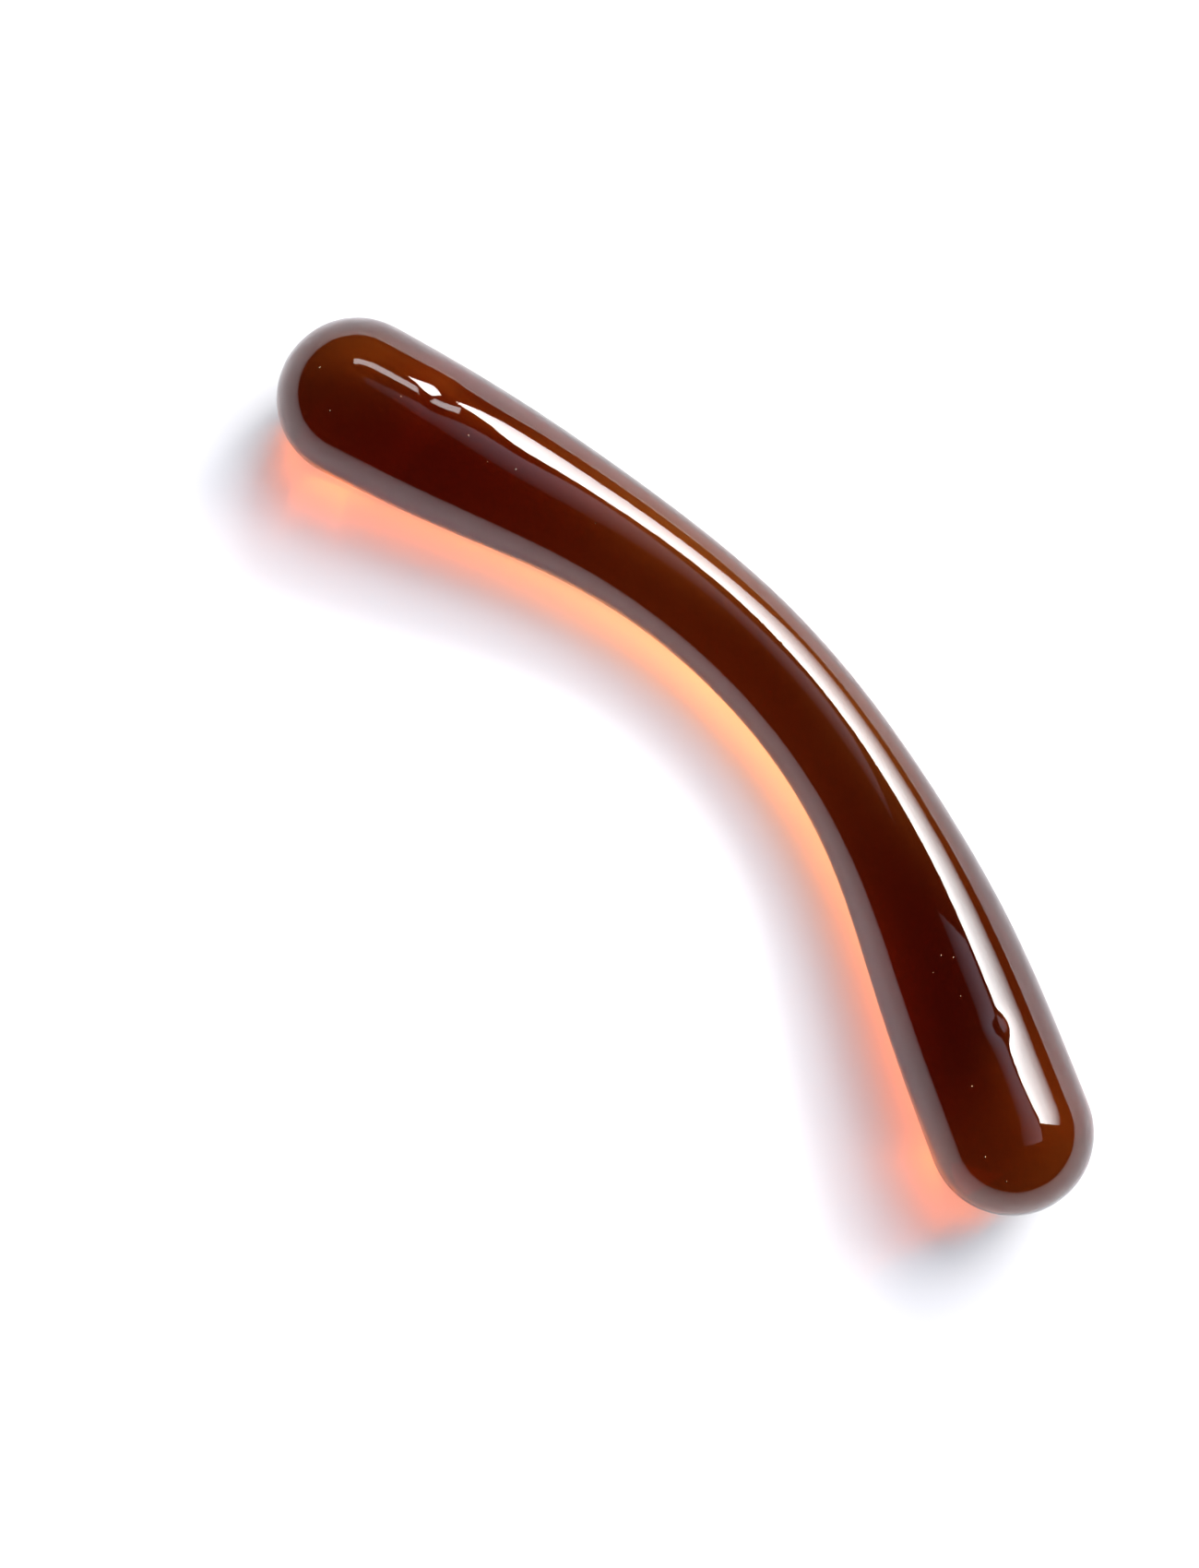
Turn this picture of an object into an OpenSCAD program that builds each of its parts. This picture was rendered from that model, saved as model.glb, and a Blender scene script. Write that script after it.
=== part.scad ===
// Bowed bar of solid glass, worked from one gather.
// Two round ends, a slimmer waist between them and one gentle bend along the whole bar.
// The bar lies as it comes to rest: +Z is up, X runs from end to end, +Y is the outside of the bend,
// and the origin is on the resting surface, under the middle of the bar's outer box.

/* [Length and thickness] */
// Length along the middle of the glass, from tip to tip
bar_length = 180; // [140:1:240]
// Diameter of the bar at its two round ends
end_d = 24.8; // [20:0.2:30]
// Diameter of the bar where it is slimmest
waist_d = 17.4; // [12:0.2:20]

/* [Waist] */
// Distance from the first tip to the slimmest point
waist_from_tip = 85.5; // [60:0.5:120]
// Distance either side of the slimmest point over which the bar thickens again
waist_reach = 48; // [36:1:60]
// How sharply the waist turns into the ends: low is a soft flare, high a long even neck
flare_power = 3.2; // [2:0.1:5]

/* [Bend] */
// Radius of the bend at the middle of the bar, where it is tightest
bend_radius = 103; // [80:1:250]
// Distance either side of the middle over which the bend eases out to straight
bend_reach = 59; // [45:1:70]

/* [Smoothness] */
// Flats around the bar
sides = 48; // [24:4:64]
// Rings over each round end
end_rings = 9; // [5:1:12]
// Rings between the two round ends
body_rings = 44; // [24:1:56]

/* [Hidden] */

end_r = end_d / 2;
// Pieces that each stretch of the middle line is added up from
line_steps = 8;
// Halvings that close in on how the bar rests, the steepest lean and dip that they start from, and
// the small turn either way that shows on which side the centre of mass sinks
halvings = 24;
steepest_lean = 60;
steepest_dip = 10;
nudge = 0.05;

// Places along the middle line, measured from the first tip: the tips, close rings over the
// round ends and even rings between them
dome = [for (i = [1:end_rings]) end_r * (1 - cos(90 * i / end_rings))];
places = concat(
    [0],
    dome,
    [for (i = [1:body_rings]) end_r + (bar_length - end_d) * i / (body_rings + 1)],
    [for (i = [end_rings - 1:-1:0]) bar_length - dome[i]],
    [bar_length]
);
last = len(places) - 1;

// Radius of the bar with no ends to it: the end radius, less a smooth dip at the waist
function swell(s) =
    (end_d - (end_d - waist_d) * exp(-pow(abs(s - waist_from_tip) / waist_reach, flare_power))) / 2;

// Share of that radius that is left near a tip, so that each end closes as half a ball
function closing(s) = sqrt(1 - pow(1 - min(1, s / end_r, (bar_length - s) / end_r), 2));

// Curvature of the middle line: 1 / bend_radius at mid-length, falling off as a parabola to
// nothing at bend_reach
function curvature(s) = max(0, 1 - pow((s - bar_length / 2) / bend_reach, 2)) / bend_radius;

// Direction of the middle line in degrees, 0 at mid-length: that curvature summed up
function heading(s) =
    let (u = max(-bend_reach, min(bend_reach, s - bar_length / 2)))
    (u - pow(u, 3) / (3 * pow(bend_reach, 2))) / bend_radius * 180 / PI;

// How far the middle line goes, across and along, between two places
function stretch(from, to) =
    let (step = (to - from) / line_steps)
    [for (k = [1:line_steps]) step]
    * [for (k = [0.5:line_steps]) [cos(heading(from + k * step)), -sin(heading(from + k * step))]];

radius = [for (s = places) swell(s) * closing(s)];
line = [for (i = 0, p = [0, 0]; i <= last;
             p = i < last ? p + stretch(places[i], places[i + 1]) : p, i = i + 1) p];

// Weight that each ring stands for, and the bar's centre of mass. Inside the bend a slice of the bar
// is thinner than outside it, which moves the slice's own centre out by curvature * radius ^ 2 / 4.
weight = [for (i = [0:last])
    pow(radius[i], 2) * (places[min(i + 1, last)] - places[max(i - 1, 0)])];
centres = [for (i = [0:last])
    line[i] + curvature(places[i]) * pow(radius[i], 2) / 4
        * [sin(heading(places[i])), cos(heading(places[i]))]];
balance = weight * centres / (weight * [for (w = weight) 1]);

// A bowed bar with thick ends can't lie flat. It leans over towards +Y and dips one end a little,
// until its centre of mass is as low as it can be. Then it stands on one place either side of it.
first_side = [for (i = [0:last]) if (line[i].x < balance.x) i];
second_side = [for (i = [len(first_side):last]) i];

// How low a group of rings reaches once the bar leans about X and then dips its second end
function reach_down(rings, lean, dip) =
    max([for (i = rings)
        let (rise = sin(heading(places[i])) * sin(lean) * cos(dip) - cos(heading(places[i])) * sin(dip))
        line[i].x * sin(dip) + line[i].y * sin(lean) * cos(dip) + radius[i] * sqrt(1 - rise * rise)]);

// Dip at which both sides reach equally low, found by halving the range that holds it
function level_dip(lean, low = -steepest_dip, high = steepest_dip, turn = 0) =
    let (dip = (low + high) / 2)
    turn == halvings ? dip
    : reach_down(first_side, lean, dip) > reach_down(second_side, lean, dip)
        ? level_dip(lean, dip, high, turn + 1)
        : level_dip(lean, low, dip, turn + 1);

// Height of the centre of mass over the table once the bar has that lean and touches on both sides
function balance_height(lean) =
    let (dip = level_dip(lean))
    reach_down(first_side, lean, dip) - balance.x * sin(dip) - balance.y * sin(lean) * cos(dip);

// Lean at which the centre of mass is lowest, found by halving towards the side where it sinks
function settled_lean(low = 0, high = steepest_lean, turn = 0) =
    let (lean = (low + high) / 2)
    turn == halvings ? lean
    : balance_height(lean + nudge) < balance_height(lean - nudge)
        ? settled_lean(lean, high, turn + 1)
        : settled_lean(low, lean, turn + 1);

rest_lean = settled_lean();
rest_dip = level_dip(rest_lean);

// Turns a pair of coordinates by an angle, from the second towards the first
function turn_pair(a, b, angle) = [a * cos(angle) + b * sin(angle), b * cos(angle) - a * sin(angle)];

// Leans a point of the flat-lying bar over about X, then dips it about Y
function settle(p) =
    let (leant = turn_pair(p.y, p.z, rest_lean), dipped = turn_pair(p.x, leant[1], rest_dip))
    [dipped[0], leant[0], dipped[1]];

// Point on ring i at an angle round the bar, with the bar at rest
function skin(i, around) =
    let (out = radius[i] * cos(around), up = radius[i] * sin(around), turned = heading(places[i]))
    settle([line[i].x + out * sin(turned), line[i].y + out * cos(turned), up]);

raw_points = concat(
    [skin(0, 0)],
    [for (i = [1:last - 1]) for (k = [0:sides - 1]) skin(i, 360 * k / sides)],
    [skin(last, 0)]
);
low_corner = [for (axis = [0:2]) min([for (p = raw_points) p[axis]])];
high_corner = [for (axis = [0:2]) max([for (p = raw_points) p[axis]])];
origin = [(low_corner.x + high_corner.x) / 2, (low_corner.y + high_corner.y) / 2, low_corner.z];

// Number of a ring's point in the list of points, counting round past the last side
function number(ring, k) = 1 + (ring - 1) * sides + k % sides;

// Solid glass bar: rings along the bent middle line, closed by a point at each tip
module glass_bar() {
    final_point = len(raw_points) - 1;
    color([0.36, 0.09, 0.03, 0.85])
    polyhedron(
        points = [for (p = raw_points) p - origin],
        faces = concat(
            [for (k = [0:sides - 1]) [0, number(1, k), number(1, k + 1)]],
            [for (i = [1:last - 2]) for (k = [0:sides - 1])
                [number(i, k), number(i + 1, k), number(i + 1, k + 1)]],
            [for (i = [1:last - 2]) for (k = [0:sides - 1])
                [number(i, k), number(i + 1, k + 1), number(i, k + 1)]],
            [for (k = [0:sides - 1]) [final_point, number(last - 1, k + 1), number(last - 1, k)]]
        )
    );
}

glass_bar();
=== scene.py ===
"""Looks of a bowed bar of solid amber glass, lying on a white table beside a softbox.

Everything is in metres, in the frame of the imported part: the bar rests on z = 0, X runs from end to
end and +Y is the outside of the bend. Colours are sRGB hex, and light is radiance.
"""

from __future__ import annotations

import logging
import math
from dataclasses import dataclass, field
from enum import Enum

import bpy
import numpy as np
from mathutils import Matrix, Vector

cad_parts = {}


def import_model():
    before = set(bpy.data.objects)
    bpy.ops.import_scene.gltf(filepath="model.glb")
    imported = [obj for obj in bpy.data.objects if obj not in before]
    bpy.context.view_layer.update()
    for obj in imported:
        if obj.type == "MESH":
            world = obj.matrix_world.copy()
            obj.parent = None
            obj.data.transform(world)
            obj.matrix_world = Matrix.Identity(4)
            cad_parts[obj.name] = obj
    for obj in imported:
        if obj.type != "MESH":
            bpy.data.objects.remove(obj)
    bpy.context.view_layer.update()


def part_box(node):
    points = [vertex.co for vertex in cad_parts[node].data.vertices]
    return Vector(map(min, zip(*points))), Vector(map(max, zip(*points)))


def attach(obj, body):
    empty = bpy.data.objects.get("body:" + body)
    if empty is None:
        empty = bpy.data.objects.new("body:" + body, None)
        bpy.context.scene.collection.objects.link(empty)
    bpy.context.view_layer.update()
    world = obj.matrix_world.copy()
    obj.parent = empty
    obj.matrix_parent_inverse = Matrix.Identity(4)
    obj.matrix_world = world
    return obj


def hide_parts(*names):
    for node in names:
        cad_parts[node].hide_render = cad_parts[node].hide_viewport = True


MM = 0.001
DRAWN = "drawn"
log = logging.getLogger("glass_bar")


# ---------------------------------------------------------------- small helpers


def linear(hex_colour: str) -> tuple[float, float, float, float]:
    """Turns an sRGB hex colour into the linear colour that the shaders take.

    Args:
        hex_colour: Six hex digits, such as "c87a3c".

    Returns:
        Linear red, green and blue, and an alpha of 1.
    """
    srgb = [int(hex_colour[i : i + 2], 16) / 255 for i in (0, 2, 4)]
    flat = [c / 12.92 if c <= 0.04045 else ((c + 0.055) / 1.055) ** 2.4 for c in srgb]
    return flat[0], flat[1], flat[2], 1.0


def add_node(
    tree: bpy.types.NodeTree,
    kind: str,
    inputs: dict[str | int, object] | None = None,
    **settings: object,
) -> bpy.types.Node:
    """Adds a shader node with its settings, and fills its sockets.

    Args:
        tree: The node tree that it goes into.
        kind: The node's type, such as "ShaderNodeMix".
        inputs: Socket name or number to a value, or to another node's output that is linked to it.
        **settings: The node's own properties.

    Returns:
        The new node.
    """
    node = tree.nodes.new(kind)
    for name, value in settings.items():
        setattr(node, name, value)
    for socket, value in (inputs or {}).items():
        if isinstance(value, bpy.types.NodeSocket):
            tree.links.new(value, node.inputs[socket])
        else:
            node.inputs[socket].default_value = value
    return node


def empty_material(name: str) -> tuple[bpy.types.Material, bpy.types.NodeTree]:
    """Makes a material whose node tree is still empty, and returns both."""
    material = bpy.data.materials.new(name)
    material.use_nodes = True
    material.node_tree.nodes.clear()
    return material, material.node_tree


def mesh_object(name: str, points: np.ndarray, faces: list[list[int]]) -> bpy.types.Object:
    """Puts points and faces into a smooth-shaded mesh object at the origin.

    Args:
        name: The object's name.
        points: Array of shape (n, 3), in metres.
        faces: Point numbers of each face, counter-clockwise from outside.

    Returns:
        The object, linked into the scene.
    """
    mesh = bpy.data.meshes.new(name)
    mesh.from_pydata(points.tolist(), [], faces)
    mesh.polygons.foreach_set("use_smooth", np.ones(len(mesh.polygons), bool))
    mesh.validate()
    mesh.update()
    thing = bpy.data.objects.new(name, mesh)
    bpy.context.scene.collection.objects.link(thing)
    return thing


# ---------------------------------------------------------------- finishes


@dataclass(frozen=True)
class AmberGlass:
    """Soda-lime glass coloured amber in the melt, drawn hot and fire-polished.

    The eye gets its colour from the depth of the glass, so the thick ends go nearly black and the waist
    glows red-brown. The surface is as smooth as it cooled, with long soft draw marks.
    """

    ior: float = 1.52
    roughness: float = 0.0
    # Absorption per metre of glass: blue goes first and red last, which leaves orange, then red-brown
    red_per_m: float = 46.0
    green_per_m: float = 119.0
    blue_per_m: float = 230.0
    # Density over the strongest absorption, so that no channel of the volume's colour comes to zero
    density_margin: float = 1.05
    # Draw marks: soft lines along the bar, this far apart round it and this long
    mark_spacing: float = 1.6 * MM
    mark_length: float = 45 * MM
    mark_height: float = 0.012 * MM

    def material(self) -> bpy.types.Material:
        """Builds the glass: a clear shell round a volume that absorbs green and blue first.

        Returns:
            The material.
        """
        material, tree = empty_material("amber_soda_glass")
        absorbed = (self.red_per_m, self.green_per_m, self.blue_per_m)
        density = self.density_margin * max(absorbed)
        passed = [1 - channel / density for channel in absorbed]
        place = add_node(tree, "ShaderNodeAttribute", attribute_name=DRAWN)
        stretch = (self.mark_spacing / self.mark_length, 1.0, 1.0)
        drawn = add_node(
            tree, "ShaderNodeVectorMath", {0: place.outputs["Vector"], 1: stretch}, operation="MULTIPLY"
        )
        lines = add_node(
            tree,
            "ShaderNodeTexNoise",
            {"Vector": drawn.outputs["Vector"], "Scale": 1 / self.mark_spacing, "Detail": 2.0},
        )
        marks = add_node(
            tree,
            "ShaderNodeBump",
            {"Height": lines.outputs[0], "Distance": self.mark_height, "Strength": 1.0},
        )
        shell = add_node(
            tree,
            "ShaderNodeBsdfPrincipled",
            {
                "Base Color": (1.0, 1.0, 1.0, 1.0),
                "Roughness": self.roughness,
                "IOR": self.ior,
                "Transmission Weight": 1.0,
                "Normal": marks.outputs["Normal"],
            },
        )
        depth = add_node(
            tree, "ShaderNodeVolumeAbsorption", {"Color": (*passed, 1.0), "Density": density}
        )
        add_node(
            tree,
            "ShaderNodeOutputMaterial",
            {"Surface": shell.outputs["BSDF"], "Volume": depth.outputs["Volume"]},
        )
        return material


@dataclass(frozen=True)
class AirSeed:
    """Trapped air: the inside of the bubble throws nearly all light back, so it looks silvery."""

    colour: str = "e9e4e0"
    roughness: float = 0.12

    def material(self) -> bpy.types.Material:
        """Builds the bright skin of a bubble.

        Returns:
            The material.
        """
        material, tree = empty_material("air_seed")
        skin = add_node(
            tree,
            "ShaderNodeBsdfPrincipled",
            {"Base Color": linear(self.colour), "Metallic": 1.0, "Roughness": self.roughness},
        )
        add_node(tree, "ShaderNodeOutputMaterial", {"Surface": skin.outputs["BSDF"]})
        return material


@dataclass(frozen=True)
class WhiteTable:
    """Matt white laminate: a pale even surface that shows soft shadow and the glass's own light."""

    colour: str = "cccccc"
    roughness: float = 0.9

    def material(self) -> bpy.types.Material:
        """Builds the matt white surface.

        Returns:
            The material.
        """
        material, tree = empty_material("matt_white_laminate")
        face = add_node(
            tree,
            "ShaderNodeBsdfPrincipled",
            {"Base Color": linear(self.colour), "Roughness": self.roughness, "Specular IOR Level": 0.0},
        )
        add_node(tree, "ShaderNodeOutputMaterial", {"Surface": face.outputs["BSDF"]})
        return material


# ---------------------------------------------------------------- the bar


class Side(Enum):
    """The two sides of the centre of mass; the bar touches the table once on each."""

    FIRST = "first"
    SECOND = "second"


@dataclass(frozen=True)
class Dimple:
    """A shallow mark left in the soft glass by a tool; a negative depth is a raised one."""

    from_tip: float
    angle: float
    depth: float
    along: float
    around: float


@dataclass(frozen=True)
class Seed:
    """A small air bubble in the glass, at a share of the way from the middle line to the skin."""

    from_tip: float
    angle: float
    share: float
    size: float


@dataclass
class GlassBar:
    """Solid bar of glass with round ends, a slimmer waist and one bend.

    The middle line lies in a plane and is bent most at mid-length. The bar is a grid of points: one
    direction runs along the middle line, the other round it. Tool marks are given by their distance from
    the first tip and their angle round the bar, from the outside of the bend towards the top.
    """

    length: float = 180 * MM
    end_diameter: float = 24.8 * MM
    waist_diameter: float = 17.4 * MM
    waist_from_tip: float = 85.5 * MM
    waist_reach: float = 48 * MM
    flare_power: float = 3.2
    bend_radius: float = 103 * MM
    bend_reach: float = 59 * MM
    end_rings: int = 48
    body_rings: int = 320
    around: int = 128
    middle_line_points: int = 4001
    dimples: tuple[Dimple, ...] = (
        Dimple(23.0 * MM, 78.0, 0.14 * MM, 2.4 * MM, 3.0 * MM),
        Dimple(31.0 * MM, 73.0, -0.10 * MM, 5.0 * MM, 2.2 * MM),
        Dimple(38.0 * MM, 84.0, 0.10 * MM, 7.0 * MM, 2.0 * MM),
        Dimple(153.0 * MM, 89.0, 0.20 * MM, 2.4 * MM, 1.7 * MM),
        Dimple(160.0 * MM, 97.0, -0.10 * MM, 6.0 * MM, 2.0 * MM),
        Dimple(169.5 * MM, 100.0, 0.10 * MM, 1.6 * MM, 2.2 * MM),
    )
    seeds: tuple[Seed, ...] = (
        Seed(6.0 * MM, 100.0, 0.80, 0.30 * MM),
        Seed(10.0 * MM, 128.0, 0.86, 0.34 * MM),
        Seed(18.0 * MM, 92.0, 0.82, 0.28 * MM),
        Seed(30.0 * MM, 95.0, 0.88, 0.30 * MM),
        Seed(34.0 * MM, 106.0, 0.84, 0.26 * MM),
        Seed(38.5 * MM, 101.0, 0.90, 0.32 * MM),
        Seed(53.0 * MM, 108.0, 0.85, 0.26 * MM),
        Seed(140.0 * MM, 110.0, 0.86, 0.34 * MM),
        Seed(142.0 * MM, 120.0, 0.82, 0.28 * MM),
        Seed(141.0 * MM, 100.0, 0.90, 0.28 * MM),
        Seed(147.0 * MM, 108.0, 0.84, 0.26 * MM),
        Seed(160.0 * MM, 124.0, 0.85, 0.30 * MM),
        Seed(170.0 * MM, 136.0, 0.84, 0.40 * MM),
        Seed(174.0 * MM, 130.0, 0.80, 0.28 * MM),
    )
    # Height of the two slow ripples, and the lengths along the bar that their sines are taken over
    ripple: float = 0.008 * MM
    short_ripple: float = 5.3 * MM
    long_ripple: float = 8.9 * MM
    # Search for the pose at rest: how often a range is halved, how far it goes and the small turn
    # either way that shows on which side the centre of mass sinks
    halvings: int = 24
    steepest_lean: float = math.radians(60)
    steepest_dip: float = math.radians(10)
    nudge: float = math.radians(0.05)
    seed_rows: int = 8
    seed_sides: int = 12
    finish: AmberGlass = field(default_factory=AmberGlass)
    seed_finish: AirSeed = field(default_factory=AirSeed)

    def places(self) -> np.ndarray:
        """Distances of the rings from the first tip.

        Over a round end they follow end_radius * (1 - cos angle), with the angle in even steps from 0
        to a right angle. Between the ends they are even.

        Returns:
            Array of distances, tips included.
        """
        end_radius = self.end_diameter / 2
        angle = np.linspace(0, np.pi / 2, self.end_rings + 1)
        dome = end_radius * (1 - np.cos(angle))
        body = np.linspace(end_radius, self.length - end_radius, self.body_rings + 2)[1:-1]
        return np.concatenate([dome, body, (self.length - dome)[::-1]])

    def radius(self, s: np.ndarray) -> np.ndarray:
        """Radius of the bar at distances from the first tip.

        The end radius less a dip of exp(-(distance from the waist / reach) ^ power), times a share of
        sqrt(1 - (1 - distance from the tip / end radius) ^ 2) over each round end.

        Args:
            s: Distances from the first tip.

        Returns:
            The radius at each.
        """
        dip = np.exp(-((np.abs(s - self.waist_from_tip) / self.waist_reach) ** self.flare_power))
        swell = (self.end_diameter - (self.end_diameter - self.waist_diameter) * dip) / 2
        inward = np.minimum(1, np.minimum(s, self.length - s) / (self.end_diameter / 2))
        return swell * np.sqrt(np.clip(1 - (1 - inward) ** 2, 0, None))

    def unevenness(self, s: np.ndarray, angle: np.ndarray) -> np.ndarray:
        """How far the hand-worked skin stands out from the true round, point by point.

        Each dimple takes away depth * exp(-(distance along / reach) ^ 2 - (distance round / reach) ^ 2).
        Two slow ripples along the bar add sines that also turn round it. All fade to nothing at the tips.

        Args:
            s: Distances of the rings from the first tip, as a column.
            angle: Angles round the bar from the outside of the bend, as a row, in radians.

        Returns:
            Array of heights, one per ring and angle.
        """
        height = self.ripple * (
            np.sin(s / self.short_ripple + 2 * angle) + np.sin(s / self.long_ripple - angle + 1.0)
        )
        for mark in self.dimples:
            turned = angle - math.radians(mark.angle)
            round_it = (np.mod(turned + np.pi, 2 * np.pi) - np.pi) * self.end_diameter / 2
            height = height - mark.depth * np.exp(
                -(((s - mark.from_tip) / mark.along) ** 2) - (round_it / mark.around) ** 2
            )
        inward = np.minimum(1, np.minimum(s, self.length - s) / (self.end_diameter / 4))
        return height * inward

    def heading(self, s: np.ndarray) -> np.ndarray:
        """Direction of the middle line, as an angle from X.

        The integral of a curvature of (1 - (u / reach) ^ 2) / bend radius, where u is the distance from
        mid-length.

        Args:
            s: Distances from the first tip.

        Returns:
            Angles in radians, negative before mid-length and positive after it.
        """
        u = np.clip(s - self.length / 2, -self.bend_reach, self.bend_reach)
        return (u - u**3 / (3 * self.bend_reach**2)) / self.bend_radius

    def flat_skin(self, s: np.ndarray) -> np.ndarray:
        """Skin of the bar with its middle line in the plane z = 0.

        Point (i, k) is the middle line's point i, plus the radius there times cos of the angle k along
        the line's normal and sin of it along Z. The middle line is the running sum of its direction.

        Args:
            s: Distances of the rings from the first tip.

        Returns:
            Array of shape (rings, around, 3).
        """
        fine = np.linspace(0, self.length, self.middle_line_points)
        step = fine[1] - fine[0]
        middle = self.heading((fine[1:] + fine[:-1]) / 2)
        x = np.interp(s, fine, np.concatenate([[0], np.cumsum(np.cos(middle)) * step]))
        y = np.interp(s, fine, np.concatenate([[0], np.cumsum(-np.sin(middle)) * step]))
        turned = self.heading(s)[:, None]
        angle = np.linspace(0, 2 * np.pi, self.around, endpoint=False)[None, :]
        radius = self.radius(s)[:, None] + self.unevenness(s[:, None], angle)
        out = radius * np.cos(angle)
        return np.stack(
            [x[:, None] + out * np.sin(turned), y[:, None] + out * np.cos(turned), radius * np.sin(angle)],
            axis=-1,
        )

    def straight_skin(self, s: np.ndarray) -> np.ndarray:
        """Skin of the bar as if it were straight, which the draw marks follow.

        Args:
            s: Distances of the rings from the first tip.

        Returns:
            Array of shape (rings, around, 3): distance along, then across and up from the middle.
        """
        angle = np.linspace(0, 2 * np.pi, self.around, endpoint=False)[None, :]
        radius = self.radius(s)[:, None]
        along = np.repeat(s[:, None], self.around, axis=1)
        return np.stack([along, radius * np.cos(angle), radius * np.sin(angle)], axis=-1)

    @staticmethod
    def as_points(skin: np.ndarray) -> np.ndarray:
        """Lists the points of a skin, with one point for each tip.

        Args:
            skin: Array of shape (rings, around, 3).

        Returns:
            Array of shape (points, 3).
        """
        return np.concatenate([skin[0, :1], skin[1:-1].reshape(-1, 3), skin[-1, :1]])

    def balance(self, s: np.ndarray, flat: np.ndarray) -> np.ndarray:
        """Finds the centre of mass of the bar with its middle line in the plane z = 0.

        Each ring counts by radius ^ 2 and the length that it stands for. Its centre is moved out of the
        bend by curvature * radius ^ 2 / 4, because a slice is thinner on the inside of the bend.

        Args:
            s: Distances of the rings from the first tip.
            flat: Skin of the bar, of shape (rings, around, 3).

        Returns:
            The centre's three coordinates.
        """
        curvature = np.clip(1 - ((s - self.length / 2) / self.bend_reach) ** 2, 0, None) / self.bend_radius
        turned = self.heading(s)
        outward = np.stack([np.sin(turned), np.cos(turned), 0 * turned], axis=-1)
        centres = flat.mean(axis=1) + outward * (curvature * self.radius(s) ** 2 / 4)[:, None]
        weight = self.radius(s) ** 2 * np.gradient(s)
        return weight @ centres / weight.sum()

    def at_rest(self, s: np.ndarray, low: Vector, high: Vector) -> np.ndarray:
        """Skin of the bar as it comes to rest, with its centre of mass as low as it can be.

        For each lean about X, the dip about Y is halved in on until both sides reach equally low. The
        lean is halved in on in the same way, towards the side where the centre of mass sinks. The bar
        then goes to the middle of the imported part's box.

        Args:
            s: Distances of the rings from the first tip.
            low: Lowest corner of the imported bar.
            high: Its highest corner.

        Returns:
            Array of shape (rings, around, 3).
        """
        flat = self.flat_skin(s)
        balance = self.balance(s, flat)
        before = flat.mean(axis=1)[:, 0] < balance[0]
        sides = {Side.FIRST: flat[before], Side.SECOND: flat[~before]}

        def turn(lean: float, dip: float) -> np.ndarray:
            return np.array(Matrix.Rotation(dip, 3, "Y") @ Matrix.Rotation(-lean, 3, "X"))

        def lowest(lean: float, dip: float) -> dict[Side, float]:
            upward = turn(lean, dip)[2]
            return {name: (skin @ upward).min() for name, skin in sides.items()}

        def level_dip(lean: float) -> float:
            least, most = -self.steepest_dip, self.steepest_dip
            for _ in range(self.halvings):
                dip = (least + most) / 2
                found = lowest(lean, dip)
                if found[Side.FIRST] < found[Side.SECOND]:
                    least = dip
                else:
                    most = dip
            return dip

        def balance_height(lean: float) -> float:
            dip = level_dip(lean)
            return balance @ turn(lean, dip)[2] - lowest(lean, dip)[Side.FIRST]

        least, most = 0.0, self.steepest_lean
        for _ in range(self.halvings):
            lean = (least + most) / 2
            if balance_height(lean + self.nudge) < balance_height(lean - self.nudge):
                least = lean
            else:
                most = lean
        rested = flat @ turn(lean, level_dip(lean)).T
        lowest_corner, highest_corner = rested.min(axis=(0, 1)), rested.max(axis=(0, 1))
        middle = (np.array(low) + np.array(high)) / 2 - (lowest_corner + highest_corner) / 2
        return rested + np.array([middle[0], middle[1], low.z - lowest_corner[2]])

    def build(self) -> list[bpy.types.Object]:
        """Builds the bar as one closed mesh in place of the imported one, dresses it and adds its seeds.

        Returns:
            The bar's object and the seeds' object.
        """
        low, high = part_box("glass_bar")
        s = self.places()
        skin = self.at_rest(s, low, high)
        rings, around = len(s) - 2, self.around
        points = self.as_points(skin)
        ring, k = np.meshgrid(np.arange(rings - 1), np.arange(around), indexing="ij")
        here, beside = 1 + ring * around + k, 1 + ring * around + (k + 1) % around
        walls = np.stack([here, beside, beside + around, here + around], axis=-1).reshape(-1, 4)
        k = np.arange(around)
        final = len(points) - 1
        first_fan = np.stack([np.zeros_like(k), 1 + (k + 1) % around, 1 + k], axis=-1)
        start = 1 + (rings - 1) * around
        last_fan = np.stack([np.full_like(k, final), start + k, start + (k + 1) % around], axis=-1)
        faces = [*walls.tolist(), *first_fan.tolist(), *last_fan.tolist()]
        bar = mesh_object("amber_glass_bar", points, faces)
        drawn = bar.data.attributes.new(DRAWN, "FLOAT_VECTOR", "POINT")
        drawn.data.foreach_set("vector", self.as_points(self.straight_skin(s)).ravel())
        bar.data.materials.append(self.finish.material())
        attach(bar, "root")
        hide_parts("glass_bar")
        return [bar, self.blow_seeds(s, skin)]

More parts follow.
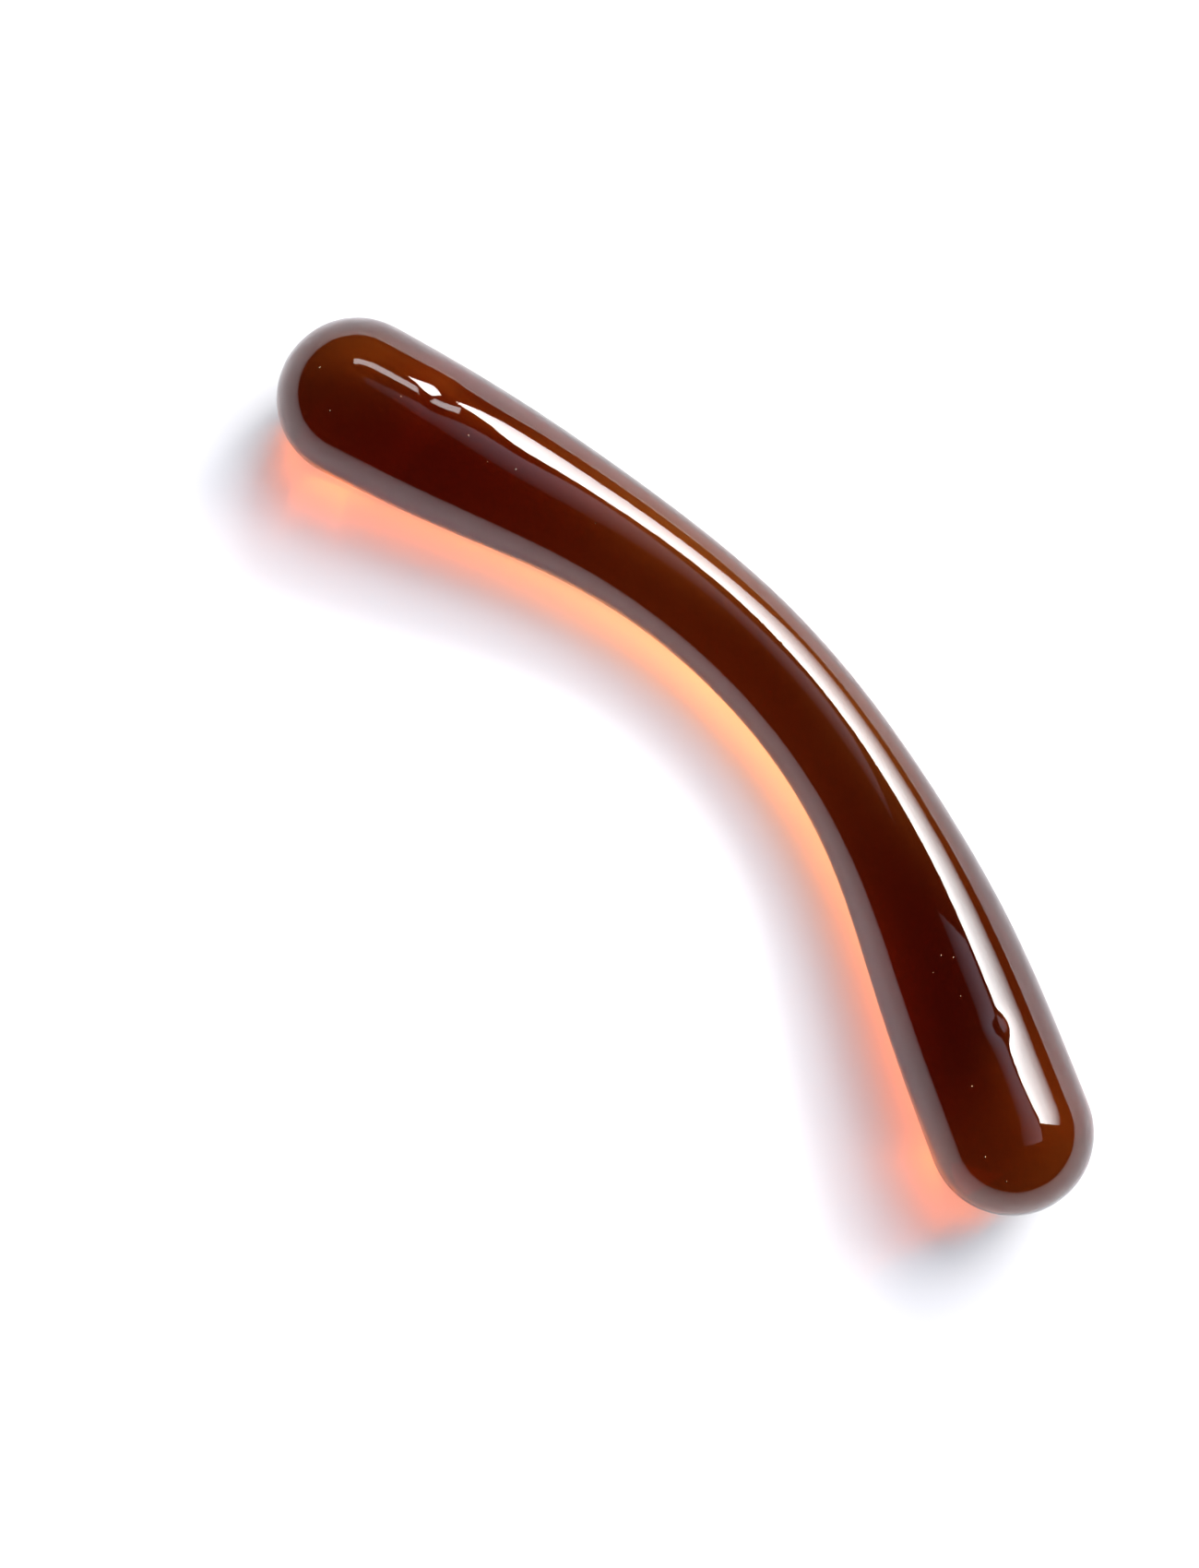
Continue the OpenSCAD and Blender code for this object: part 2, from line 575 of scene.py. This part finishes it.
    def blow_seeds(self, s: np.ndarray, skin: np.ndarray) -> bpy.types.Object:
        """Puts the air seeds into the glass, as small round bubbles in one mesh.

        A bubble's point (i, k) is its middle plus its radius times (sin a cos b, sin a sin b, cos a),
        with a in even steps from pole to pole and b in even steps round.

        Args:
            s: Distances of the rings from the first tip.
            skin: Skin of the bar at rest, of shape (rings, around, 3).

        Returns:
            The seeds' object.
        """
        rows, across = self.seed_rows, self.seed_sides
        a = np.linspace(0, np.pi, rows + 1)[1:-1, None]
        b = np.linspace(0, 2 * np.pi, across, endpoint=False)[None, :]
        ball = np.stack([np.sin(a) * np.cos(b), np.sin(a) * np.sin(b), np.cos(a) + 0 * b], axis=-1)
        ball = np.concatenate([[[0, 0, 1]], ball.reshape(-1, 3), [[0, 0, -1]]])
        faces = []
        final = len(ball) - 1
        for k in range(across):
            beside = (k + 1) % across
            faces.append([0, 1 + k, 1 + beside])
            for row in range(rows - 2):
                top, below = 1 + row * across, 1 + (row + 1) * across
                faces.append([top + k, below + k, below + beside, top + beside])
            last = 1 + (rows - 2) * across
            faces.append([last + k, final, last + beside])
        points, walls = [], []
        for seed in self.seeds:
            ring = int(np.argmin(np.abs(s - seed.from_tip)))
            k = round(seed.angle / 360 * self.around) % self.around
            middle = skin[ring].mean(axis=0)
            centre = middle + (skin[ring, k] - middle) * seed.share
            walls += [[point + len(points) * len(ball) for point in face] for face in faces]
            points.append(centre + ball * seed.size / 2)
        bubbles = mesh_object("air_seeds", np.concatenate(points), walls)
        bubbles.data.materials.append(self.seed_finish.material())
        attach(bubbles, "root")
        return bubbles


# ---------------------------------------------------------------- the studio


def towards(azimuth: float, elevation: float) -> Vector:
    """Works out a direction.

    Args:
        azimuth: Degrees from +Y towards +X.
        elevation: Degrees up from the table.

    Returns:
        The direction, of length 1.
    """
    turn, rise = math.radians(azimuth), math.radians(elevation)
    return Vector((math.cos(rise) * math.sin(turn), math.cos(rise) * math.cos(turn), math.sin(rise)))


@dataclass(frozen=True)
class Softbox:
    """A rectangle of soft light that faces the bar from a direction and a distance.

    Its radiance climbs from a share of the full value at the lower edge to the full value at the upper
    edge, as height ^ climb. It can be turned about the line to the bar, in degrees. A softbox that isn't
    in reflections still lights the table and the depth of the glass.
    """

    name: str
    azimuth: float
    elevation: float
    distance: float
    width: float
    height: float
    radiance: float
    lower_share: float = 1.0
    climb: float = 1.0
    turn: float = 0.0
    tint: str = "ffffff"
    in_reflections: bool = True

    def hang(self) -> bpy.types.Object:
        """Hangs the softbox.

        Returns:
            The light's object.
        """
        lamp = bpy.data.lights.new(self.name, "AREA")
        lamp.shape = "RECTANGLE"
        lamp.size, lamp.size_y = self.width, self.height
        lamp.energy = self.radiance * math.pi * self.width * self.height
        lamp.use_nodes = True
        tree = lamp.node_tree
        tree.nodes.clear()
        spot = add_node(tree, "ShaderNodeNewGeometry")
        across = add_node(tree, "ShaderNodeSeparateXYZ", {0: spot.outputs["Parametric"]})
        climbed = add_node(
            tree, "ShaderNodeMath", {0: across.outputs["Y"], 1: self.climb}, operation="POWER"
        )
        share = add_node(
            tree, "ShaderNodeMapRange", {"Value": climbed.outputs[0], "To Min": self.lower_share}
        )
        glow = add_node(
            tree, "ShaderNodeEmission", {"Color": linear(self.tint), "Strength": share.outputs["Result"]}
        )
        add_node(tree, "ShaderNodeOutputLight", {"Surface": glow.outputs["Emission"]})
        box = bpy.data.objects.new(self.name, lamp)
        back = towards(self.azimuth, self.elevation)
        place = Matrix.Translation(back * self.distance) @ back.to_track_quat("Z", "Y").to_matrix().to_4x4()
        box.matrix_world = place @ Matrix.Rotation(math.radians(self.turn), 4, "Z")
        box.visible_camera = False
        box.visible_glossy = self.in_reflections
        bpy.context.scene.collection.objects.link(box)
        return box


@dataclass
class Studio:
    """White table, a graded softbox beyond the outside of the bend, and soft fills.

    Three lights show in the glass: the softbox as the long highlight, the ceiling glow and the side
    window as faint sheen. The key sends the orange light through the bar, and the key, the skylight, the
    overhead and the reflector keep the table white. The rest of the room is nearly black, which is what
    keeps the glass deep in colour.
    """

    table_side: float = 6.0
    table_gap: float = 0.02 * MM
    lamps: tuple[Softbox, ...] = (
        Softbox(
            "softbox",
            azimuth=9,
            elevation=33,
            distance=0.8,
            width=0.64,
            height=0.46,
            radiance=27,
            lower_share=0.06,
            climb=1.1,
            turn=-25,
        ),
        Softbox(
            "ceiling_glow",
            azimuth=30,
            elevation=68,
            distance=0.8,
            width=0.6,
            height=0.34,
            radiance=1.5,
            lower_share=0.1,
            turn=180,
            tint="ece8ff",
        ),
        Softbox(
            "side_window",
            azimuth=-38,
            elevation=46,
            distance=0.8,
            width=0.42,
            height=0.11,
            radiance=7,
        ),
        Softbox(
            "key",
            azimuth=-27,
            elevation=40,
            distance=0.8,
            width=0.32,
            height=0.20,
            radiance=25,
            in_reflections=False,
        ),
        Softbox(
            "skylight",
            azimuth=-5,
            elevation=62,
            distance=0.8,
            width=0.90,
            height=0.26,
            radiance=5.4,
            tint="f2f3ff",
            in_reflections=False,
        ),
        Softbox(
            "overhead",
            azimuth=0,
            elevation=88,
            distance=1.0,
            width=1.2,
            height=1.2,
            radiance=0.85,
            tint="f2f3ff",
            in_reflections=False,
        ),
        Softbox(
            "reflector",
            azimuth=200,
            elevation=50,
            distance=1.0,
            width=1.0,
            height=0.6,
            radiance=2.2,
            tint="f2f3ff",
            in_reflections=False,
        ),
    )
    room_radiance: float = 0.02
    finish: WhiteTable = field(default_factory=WhiteTable)

    def lay_table(self) -> bpy.types.Object:
        """Lays the white table under the bar.

        Returns:
            The table's object.
        """
        half = self.table_side / 2
        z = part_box("glass_bar")[0].z - self.table_gap
        corners = np.array([[-half, -half, z], [half, -half, z], [half, half, z], [-half, half, z]])
        table = mesh_object("white_table", corners, [[0, 1, 2, 3]])
        table.data.materials.append(self.finish.material())
        return table

    def light_room(self) -> None:
        """Lights the rest of the room very dimly."""
        world = bpy.data.worlds.new("room")
        world.use_nodes = True
        tree = world.node_tree
        tree.nodes.clear()
        light = add_node(
            tree, "ShaderNodeBackground", {"Color": (1.0, 1.0, 1.0, 1.0), "Strength": self.room_radiance}
        )
        add_node(tree, "ShaderNodeOutputWorld", {"Surface": light.outputs["Background"]})
        bpy.context.scene.world = world


@dataclass
class CopyCamera:
    """Camera nearly straight above the bar, with a long lens.

    It is tilted off the vertical by a few degrees, towards a direction given from +X towards +Y, as is
    the direction that is at the top of the picture.
    """

    lens_mm: float = 100.0
    sensor_mm: float = 36.0
    distance: float = 0.658
    tilt: float = 5.5
    tilt_towards: float = -55.0
    top_of_picture: float = 138.5
    aim: tuple[float, float, float] = (-6.0 * MM, -19.6 * MM, 12 * MM)

    def place(self) -> bpy.types.Object:
        """Places the camera and makes it the scene's.

        Returns:
            The camera's object.
        """
        tilt, side, top = (math.radians(a) for a in (self.tilt, self.tilt_towards, self.top_of_picture))
        back = Vector((math.sin(tilt) * math.cos(side), math.sin(tilt) * math.sin(side), math.cos(tilt)))
        up = Vector((math.cos(top), math.sin(top), 0.0))
        up = (up - back * up.dot(back)).normalized()
        right = up.cross(back)
        data = bpy.data.cameras.new("copy_camera")
        data.sensor_fit = "VERTICAL"
        data.sensor_height = self.sensor_mm
        data.lens = self.lens_mm
        data.clip_start, data.clip_end = 0.01, 20.0
        camera = bpy.data.objects.new("copy_camera", data)
        turn = Matrix((right, up, back)).transposed().to_4x4()
        camera.matrix_world = Matrix.Translation(Vector(self.aim) + back * self.distance) @ turn
        bpy.context.scene.collection.objects.link(camera)
        bpy.context.scene.camera = camera
        return camera


def set_light_paths() -> None:
    """Lets light pass through and focus behind the glass, and keeps its colours unshifted."""
    scene = bpy.context.scene
    scene.view_settings.view_transform = "Standard"
    scene.cycles.caustics_refractive = True
    scene.cycles.caustics_reflective = True
    scene.cycles.blur_glossy = 0.0
    scene.cycles.max_bounces = 24
    scene.cycles.transmission_bounces = 16
    scene.cycles.glossy_bounces = 8
    scene.cycles.diffuse_bounces = 4
    scene.cycles.sample_clamp_indirect = 0.0


def main() -> None:
    """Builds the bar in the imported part's place, and the studio round it."""
    logging.basicConfig(level=logging.INFO, format="%(message)s")
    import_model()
    CopyCamera().place()
    studio = Studio()
    for piece in [*GlassBar().build(), studio.lay_table()]:
        log.info("%s: %d faces", piece.name, len(piece.data.polygons))
    for lamp in studio.lamps:
        log.info("%s hung", lamp.hang().name)
    studio.light_room()
    set_light_paths()


if __name__ == "__main__":
    main()
